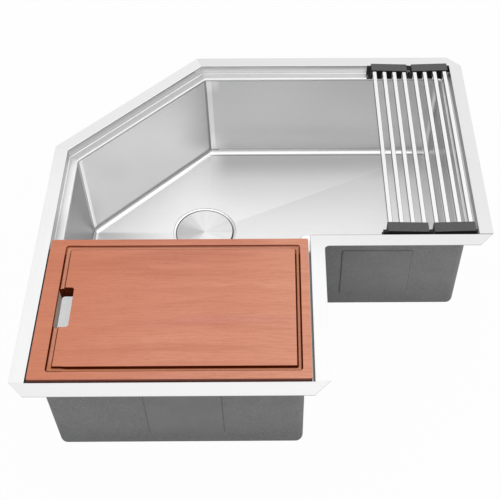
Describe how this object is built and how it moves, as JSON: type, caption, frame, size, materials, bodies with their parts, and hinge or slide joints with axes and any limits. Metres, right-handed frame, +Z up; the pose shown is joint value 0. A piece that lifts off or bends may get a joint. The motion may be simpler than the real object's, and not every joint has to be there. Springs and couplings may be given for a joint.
{
  "type": "corner kitchen sink",
  "caption": "L-shaped undermount stainless kitchen sink with a stepped ledge that carries a sliding wood board and a folding drying rack, and a basket strainer under a lift-off cover.",
  "frame": {"origin": "on the rim's top face, in the middle of the flange at the inner corner of the L", "axes": "+Z up, square to the rim; +X along the arm that carries the rack; +Y towards the back, so the other arm runs to -Y. The bowl is a mirror image of itself about the line y = -x"},
  "size_m": [0.7684, 0.7684, 0.3877],
  "materials": {
    "stainless_sheet": "satin, brushed along each face",
    "grey_coating": "sprayed, finely pebbled",
    "pad_rubber": "matte",
    "strainer_steel": "satin",
    "cover_steel": "satin, turned",
    "black_rubber": "matte",
    "fibre": "matte",
    "plated_brass": "polished",
    "board_wood": "oiled, straight grained",
    "rod_steel": "satin",
    "cap_grey": "moulded, lightly textured",
    "strap_black": "matte silicone",
    "pin_steel": "plain"
  },
  "bodies": {
    "sink": {"coupling_nut": "plated_brass", "flange_seal": "black_rubber", "floor_pan": "stainless_sheet", "friction_washer": "fibre", "locknut": "plated_brass", "rim_frame": "stainless_sheet", "rubber_washer": "black_rubber", "sound_coating": "grey_coating", "sound_pad_back_corner": "pad_rubber", "sound_pad_diagonal": "pad_rubber", "sound_pad_floor_left_arm": "pad_rubber", "sound_pad_floor_right_arm": "pad_rubber", "sound_pad_left_arm_front": "pad_rubber", "sound_pad_left_arm_inner": "pad_rubber", "sound_pad_left_arm_outer": "pad_rubber", "sound_pad_left_corner": "pad_rubber", "sound_pad_right_arm_back": "pad_rubber", "sound_pad_right_arm_end": "pad_rubber", "sound_pad_right_arm_front": "pad_rubber", "strainer_body": "strainer_steel", "tailpiece": "plated_brass", "tailpiece_washer": "black_rubber", "wall_back": "stainless_sheet", "wall_diagonal": "stainless_sheet", "wall_left": "stainless_sheet", "wall_left_arm_front": "stainless_sheet", "wall_left_arm_inner": "stainless_sheet", "wall_right_arm_end": "stainless_sheet", "wall_right_arm_front": "stainless_sheet"},
    "board": {"cutting_board": "board_wood"},
    "rack_left": {"rack_cap_back_left": "cap_grey", "rack_cap_front_left": "cap_grey", "rack_rod_left_1": "rod_steel", "rack_rod_left_2": "rod_steel", "rack_rod_left_3": "rod_steel", "rack_rod_left_4": "rod_steel", "rack_strap_back_left": "strap_black", "rack_strap_front_left": "strap_black", "rack_hinge_pin_back": "pin_steel", "rack_hinge_pin_front": "pin_steel"},
    "rack_right": {"rack_cap_back_right": "cap_grey", "rack_cap_front_right": "cap_grey", "rack_rod_right_1": "rod_steel", "rack_rod_right_2": "rod_steel", "rack_rod_right_3": "rod_steel", "rack_rod_right_4": "rod_steel", "rack_strap_back_right": "strap_black", "rack_strap_front_right": "strap_black"},
    "basket": {"strainer_basket": "strainer_steel", "basket_post": "strainer_steel", "basket_stopper": "black_rubber"},
    "cover": {"drain_cover": "cover_steel", "cover_feet": "black_rubber"}
  },
  "joints": [
    {"name": "board_slide", "type": "slide", "parent": "sink", "child": "board", "axis": [0, 1, 0], "range_m": [0, 0.14]},
    {"name": "rack_slide", "type": "slide", "parent": "sink", "child": "rack_left", "axis": [-1, 0, 0], "range_m": [0, 0.115]},
    {"name": "rack_fold", "type": "hinge", "parent": "rack_left", "child": "rack_right", "pos_m": [0.1936, 0.2294, -0.0015], "axis": [0, -1, 0], "range_deg": [0, 70]},
    {"name": "basket_lift", "type": "slide", "parent": "sink", "child": "basket", "axis": [0, 0, 1], "range_m": [0, 0.27]},
    {"name": "cover_lift", "type": "slide", "parent": "basket", "child": "cover", "axis": [0, 0, 1], "range_m": [0, 0.15]}
  ]
}
